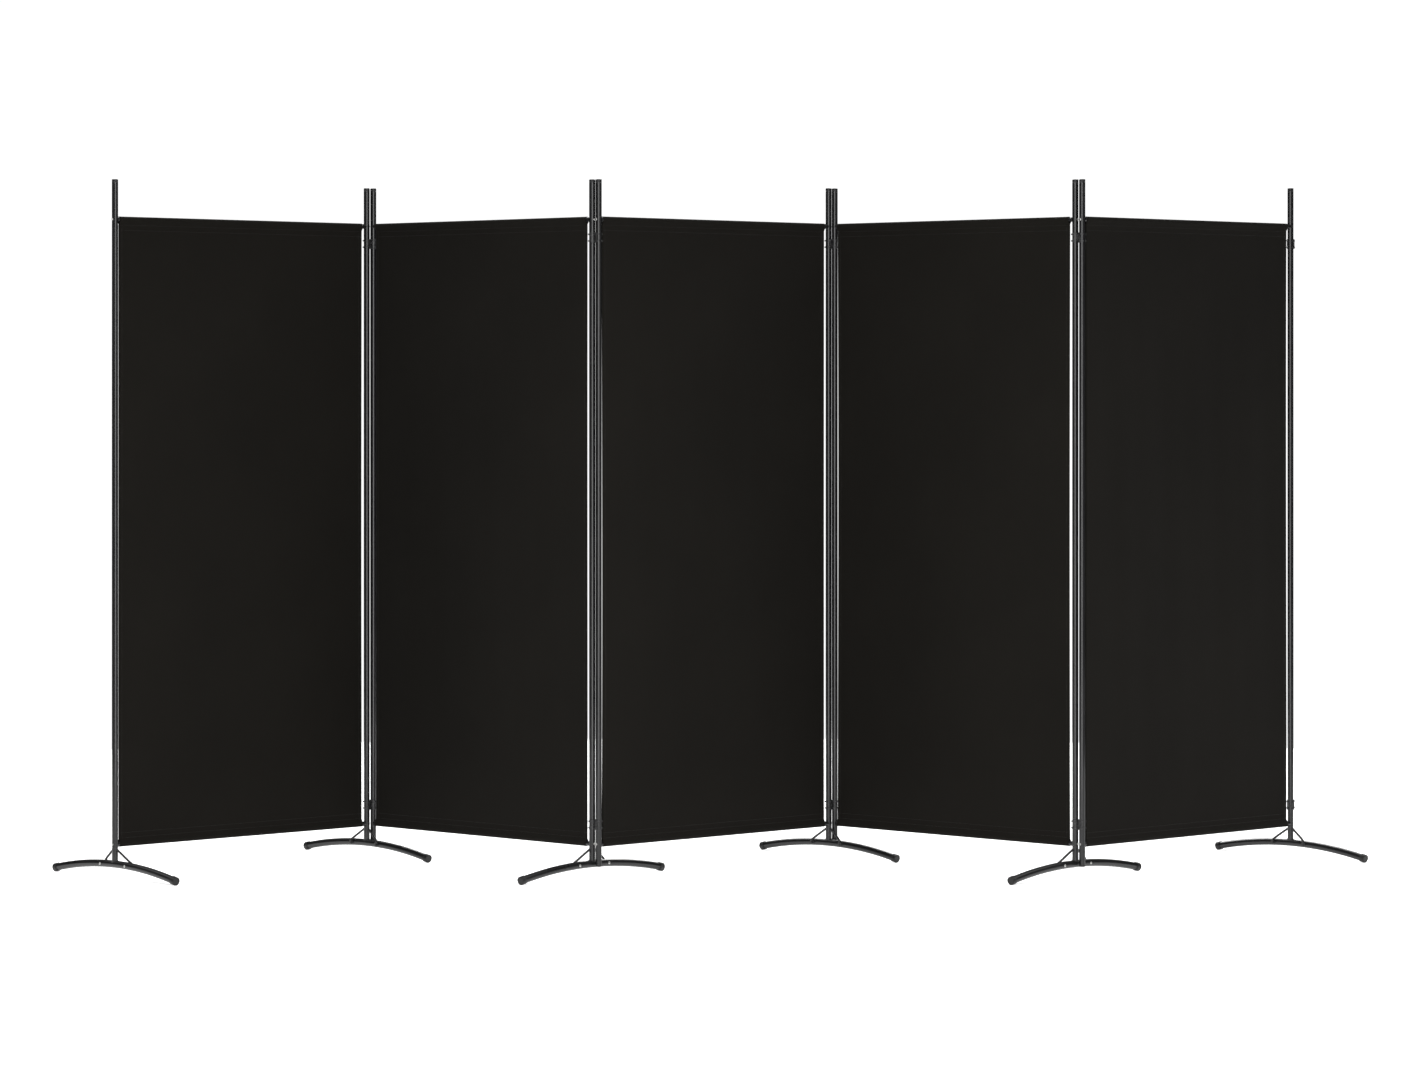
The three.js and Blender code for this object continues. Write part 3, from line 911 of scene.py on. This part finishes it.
class FOLDING_SCREEN_OT_feet(bpy.types.Operator):
    """Arched feet: the tube, its two end caps, and the bracket that carries a pole"""

    bl_idname = "folding_screen.feet"
    bl_label = "Feet"

    def execute(self, context):
        sizes = context.scene.screen_frame
        for number, (panel, side) in FEET.items():
            foot = Foot(number, panel, side, sizes.foot_radius)
            bm = bmesh.new()
            swept(bm, foot.path(40), foot.radius, ROUND)
            foot.add("tube_bent", bm, "foot_steel", [f"{foot.name}_tube"])
            self.add_bracket(foot, sizes)
            self.add_screws(foot, sizes)
            for end, way in (("front", -1), ("back", 1)):
                self.add_cap(foot, end, way)
        return {"FINISHED"}

    def add_cap(self, foot, end, way):
        """A plastic cap over one end of the tube, cut flat where it stands."""
        node = f"{foot.name}_{end}_cap"
        low, high = own_box(node, foot.axes)
        outer, bore = (high.x - low.x) / 2, foot.radius + FIT
        mouth, thick = -0.012, 0.003
        groove = outer - 0.0004
        bm = bmesh.new()
        turned(bm, [
            (0, 0.0003), (bore, 0.0003), (bore, mouth), (outer - 0.0003, mouth),
            (outer, mouth + 0.0003), (outer, mouth + 0.0018), (groove, mouth + 0.0022),
            (groove, mouth + 0.0028), (outer, mouth + 0.0032),
            *round_edge(outer, thick, 0.0018), (outer - 0.005, thick), (0, thick),
        ])
        lean = Matrix.Rotation(-way * (pi / 2 + foot.tilt), 4, "X")
        bm.transform(Matrix.Translation(foot.end(way)) @ lean)
        cut = bmesh.ops.bisect_plane(
            bm, geom=[*bm.verts, *bm.edges, *bm.faces], dist=1e-7, plane_co=(0, 0, 0),
            plane_no=(0, 0, -1), clear_outer=True,
        )["geom_cut"]
        bmesh.ops.holes_fill(bm, edges=edges_in(cut), sides=0)
        bmesh.ops.recalc_face_normals(bm, faces=bm.faces)
        foot.add(f"{end}_cap_shell", bm, "cap_plastic", [node])

    def add_bracket(self, foot, sizes):
        """The upright with its spigot, a weld where it meets the tube, two thin braces,
        and the eyes they end in, each with a six-sided nut."""
        node = f"{foot.name}_bracket"
        top = own_box(node, foot.axes)[1].z
        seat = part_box(foot.pole)[0].z - 0.0003
        radius, spigot = sizes.pole_radius, sizes.pole_radius - sizes.tube_wall - FIT
        hollow, solid, edge = spigot - 0.0012, seat - 0.004, 0.0004
        bm = bmesh.new()
        upright = turned(bm, [
            (hollow, solid), (hollow, top), (spigot - 0.0003, top), (spigot, top - 0.0006),
            (spigot, seat), (radius - edge, seat), (radius, seat - edge), (radius, solid),
            (radius, foot.middle), (0, foot.middle), (0, solid),
        ], closed=True)
        for vertex in upright:
            if abs(vertex.co.z - foot.middle) < SAME:
                vertex.co.z += sqrt(max(0.0, foot.radius**2 - vertex.co.x**2))
        ring = [(1.02 * radius * cos(a), 1.02 * radius * sin(a))
                for a in (TURN * i / 40 for i in range(40))]
        weld = [(x, y, foot.middle + sqrt(foot.radius**2 - x**2) + 0.0005) for x, y in ring]
        swept(bm, weld, 0.0013, 8, closed=True)
        for way in (-1, 1):
            self.add_brace(bm, foot, way, seat, sizes)
        foot.add("bracket_welded", bm, "foot_steel", [node])

    def add_brace(self, bm, foot, way, seat, sizes):
        eye, inward = foot.screw_place(way), foot.inward
        face = inward * (foot.radius + FIT)
        rod = face + inward * sizes.brace_radius
        knee = 0.005  # how far the upper bend lies in from the eye, both ways
        path = smooth_path([
            (0, way * sizes.pole_radius * 0.5, seat - 0.003),
            (rod - inward * knee, eye.y - way * knee, eye.z + 0.012),
            (rod, eye.y - way * 0.0005, eye.z + 0.006),
            (rod, eye.y, eye.z + 0.002),
        ], 8)
        swept(bm, path, sizes.brace_radius, 14)
        hole, outer, thick, edge = 0.0022, 0.0062, 0.003, 0.0006
        ring = turned(bm, [
            (hole, 0), (outer - edge, 0), (outer, edge), (outer, thick - edge),
            (outer - edge, thick), (hole, thick),
        ], 28, closed=True)
        nut = turned(bm, [
            (0, 0.0028), (0.0036, 0.0028), (0.0039, 0.0032), (0.0039, 0.005),
            (0.0036, 0.0054), (0.002, 0.0054), (0.002, 0.0062), (0, 0.0062),
        ], 6)
        place = facing(face, eye.y, eye.z, (inward, 0, 0))
        bmesh.ops.transform(bm, matrix=place, verts=ring + nut)

    def add_screws(self, foot, sizes):
        """A bright screw through the tube into each brace's eye."""
        sunk = 0.0004
        bm = bmesh.new()
        for way in (-1, 1):
            eye = foot.screw_place(way)
            x = -foot.inward * (foot.radius - sunk)
            head = facing(x, eye.y, eye.z, (-foot.inward, 0, 0))
            screw_head(bm, head, sizes.screw_radius * 1.1, sizes.screw_height + sunk)
        foot.add("screws", bm, "foot_steel", finish="zinc")


class FOLDING_SCREEN_OT_clips(bpy.types.Operator):
    """Hinge clips: two open jaws back to back, with raised ribs and rolled lips"""

    bl_idname = "folding_screen.clips"
    bl_label = "Clips"

    wall, rib_wall = 0.0015, 0.0026
    body_mouth, rib_mouth = 160, 88  # degrees left open round a pole
    rib_centre, half_rib = 0.0086, 0.0018
    lip_radius, edge = 0.0014, 0.0004
    web_width, web_depth = 0.0052, 0.0072

    def execute(self, context):
        bore = context.scene.screen_frame.pole_radius + FIT
        for number in PANELS:
            for place in ("upper", "lower"):
                node = f"clip_{number}_{place}"
                body = f"clips_{number}" if number < 5 else f"end_clip_{place}"
                pole = POLE_PLACES[number, "right"]
                centre = middle(node)
                axes = axes_between(pole, centre) @ Matrix.Translation((0, 0, centre.z))
                spacing = 2 * (centre - pole).xy.length
                bm = bmesh.new()
                self.jaw(bm, 0, pi, bore)
                self.jaw(bm, spacing, 0.0, bore)
                self.web(bm, spacing)
                add_piece(f"{node}_moulded", bm, axes, body, "clip_plastic", [node])
        return {"FINISHED"}

    def jaw(self, bm, x, mouth, bore):
        """One jaw round a pole at x, with its mouth turned away from the other jaw: a short
        body, and two ribs that reach further round the pole and end in rolled lips."""
        half = CLIP_HEIGHT / 2
        jaw = self.band(bm, bore, bore + self.wall, -half, half, mouth, self.body_mouth)
        for centre in (-self.rib_centre, self.rib_centre):
            low, high = centre - self.half_rib, centre + self.half_rib
            inner, outer = bore + 0.00008, bore + self.rib_wall
            jaw += self.band(bm, inner, outer, low, high, mouth, self.rib_mouth)
            for side in (-1, 1):
                turn = mouth + side * radians(self.rib_mouth / 2)
                lip = turned(bm, [
                    (0, low), (0.001, low), (self.lip_radius, low + 0.0005),
                    (self.lip_radius, high - 0.0005), (0.001, high), (0, high),
                ], 14)
                reach = bore + 0.0015
                way_out = (reach * cos(turn), reach * sin(turn), 0)
                bmesh.ops.translate(bm, vec=way_out, verts=lip)
                jaw += lip
        bmesh.ops.translate(bm, vec=(x, 0, 0), verts=jaw)

    def band(self, bm, inner, outer, low, high, mouth, gap):
        """A band round a pole, with eased edges, open over gap degrees."""
        edge = self.edge
        profile = [
            (inner + edge, low), (outer - edge, low), (outer, low + edge), (outer, high - edge),
            (outer - edge, high), (inner + edge, high), (inner, high - edge), (inner, low + edge),
        ]
        start, angle = mouth + radians(gap / 2), radians(360 - gap)
        return turned(bm, profile, 42, closed=True, angle=angle, start=start)

    def web(self, bm, spacing):
        """The solid web between the two jaws."""
        ease = 0.0006
        size = Matrix.Diagonal((self.web_width, self.web_depth, CLIP_HEIGHT - ease, 1))
        place = Matrix.Translation((spacing / 2, 0, 0))
        cube = bmesh.ops.create_cube(bm, size=1, matrix=place @ size)["verts"]
        bmesh.ops.bevel(
            bm, geom=edges_of(cube), offset=ease, segments=2, profile=0.5, affect="EDGES",
            material=-1,
        )


class FOLDING_SCREEN_OT_studio(bpy.types.Operator):
    """Pale floor, soft lights and the camera"""

    bl_idname = "folding_screen.studio"
    bl_label = "Studio"

    def execute(self, context):
        scene = context.scene
        lights = scene.screen_lights
        self.add_floor(scene, lights.floor_glow)
        self.add_surround(scene, lights)
        self.add_light(scene, "overhead", "SUN", lights.overhead).data.angle = OVERHEAD_SPREAD
        for side, (place, aim, size) in SOFT_LIGHTS.items():
            box = self.add_light(scene, side, "AREA", getattr(lights, side))
            box.data.shape = "RECTANGLE"
            box.data.size, box.data.size_y = size
            box.location = place
            ahead = Vector(aim) - Vector(place)
            box.rotation_euler = ahead.to_track_quat("-Z", "Y").to_euler()
            box.visible_camera = False
        self.add_camera(scene)
        scene.view_settings.view_transform = "Standard"
        return {"FINISHED"}

    def add_floor(self, scene, glow):
        bm = bmesh.new()
        bmesh.ops.create_circle(bm, cap_ends=True, radius=FLOOR_RADIUS, segments=96)
        mesh = bpy.data.meshes.new("studio_floor")
        bm.to_mesh(mesh)
        bm.free()
        mesh.materials.append(studio_white(scene.screen_finishes.floor, glow))
        floor = bpy.data.objects.new("studio_floor", mesh)
        scene.collection.objects.link(floor)

    def add_surround(self, scene, lights):
        """A white backdrop, and a dimmer room for what the screen reflects."""
        world = bpy.data.worlds.new("white surround")
        world.use_nodes = True
        nodes, links = world.node_tree.nodes, world.node_tree.links
        room, backdrop = nodes["Background"], nodes.new("ShaderNodeBackground")
        for background, strength in ((room, lights.surround), (backdrop, lights.backdrop)):
            background.inputs["Color"].default_value = (1, 1, 1, 1)
            background.inputs["Strength"].default_value = strength
        seen = nodes.new("ShaderNodeLightPath").outputs["Is Camera Ray"]
        either = nodes.new("ShaderNodeMixShader")
        links.new(seen, either.inputs["Fac"])
        links.new(room.outputs[0], either.inputs[1])
        links.new(backdrop.outputs[0], either.inputs[2])
        links.new(either.outputs[0], nodes["World Output"].inputs["Surface"])
        scene.world = world

    def add_light(self, scene, name, kind, strength):
        data = bpy.data.lights.new(f"{name} light", kind)
        data.energy = strength
        light = bpy.data.objects.new(data.name, data)
        scene.collection.objects.link(light)
        return light

    def add_camera(self, scene):
        data = bpy.data.cameras.new("camera")
        data.lens, data.sensor_width = CAMERA_LENS, SENSOR_WIDTH
        data.shift_x, data.shift_y = CAMERA_SHIFT
        data.clip_end = 200
        camera = bpy.data.objects.new("camera", data)
        camera.location = CAMERA_PLACE
        camera.rotation_euler = (pi / 2, 0, 0)
        scene.collection.objects.link(camera)
        scene.camera = camera


# ---- Add-on ----

OPERATORS = (
    FOLDING_SCREEN_OT_poles,
    FOLDING_SCREEN_OT_bars,
    FOLDING_SCREEN_OT_screws,
    FOLDING_SCREEN_OT_cloths,
    FOLDING_SCREEN_OT_feet,
    FOLDING_SCREEN_OT_clips,
    FOLDING_SCREEN_OT_studio,
)
SETTINGS = {
    "screen_frame": FrameSizes,
    "screen_cloth": ClothSizes,
    "screen_finishes": Finishes,
    "screen_lights": StudioLights,
}


class FOLDING_SCREEN_PT_sidebar(bpy.types.Panel):
    """Lists the screen's settings and what builds its pieces"""

    bl_label = "Folding Screen"
    bl_space_type = "VIEW_3D"
    bl_region_type = "UI"
    bl_category = "Folding Screen"

    def draw(self, context):
        for name, settings in SETTINGS.items():
            box = self.layout.box()
            group = getattr(context.scene, name)
            for prop in settings.__annotations__:
                box.prop(group, prop)
        for operator in OPERATORS:
            self.layout.operator(operator.bl_idname)


def register():
    for item in (*SETTINGS.values(), *OPERATORS, FOLDING_SCREEN_PT_sidebar):
        bpy.utils.register_class(item)
    for name, settings in SETTINGS.items():
        setattr(bpy.types.Scene, name, PointerProperty(type=settings))


def unregister():
    for name in SETTINGS:
        delattr(bpy.types.Scene, name)
    for item in (FOLDING_SCREEN_PT_sidebar, *reversed(OPERATORS), *SETTINGS.values()):
        bpy.utils.unregister_class(item)


def main():
    register()
    for operator in OPERATORS:
        group, name = operator.bl_idname.split(".")
        getattr(getattr(bpy.ops, group), name)()


if __name__ == "__main__":
    main()
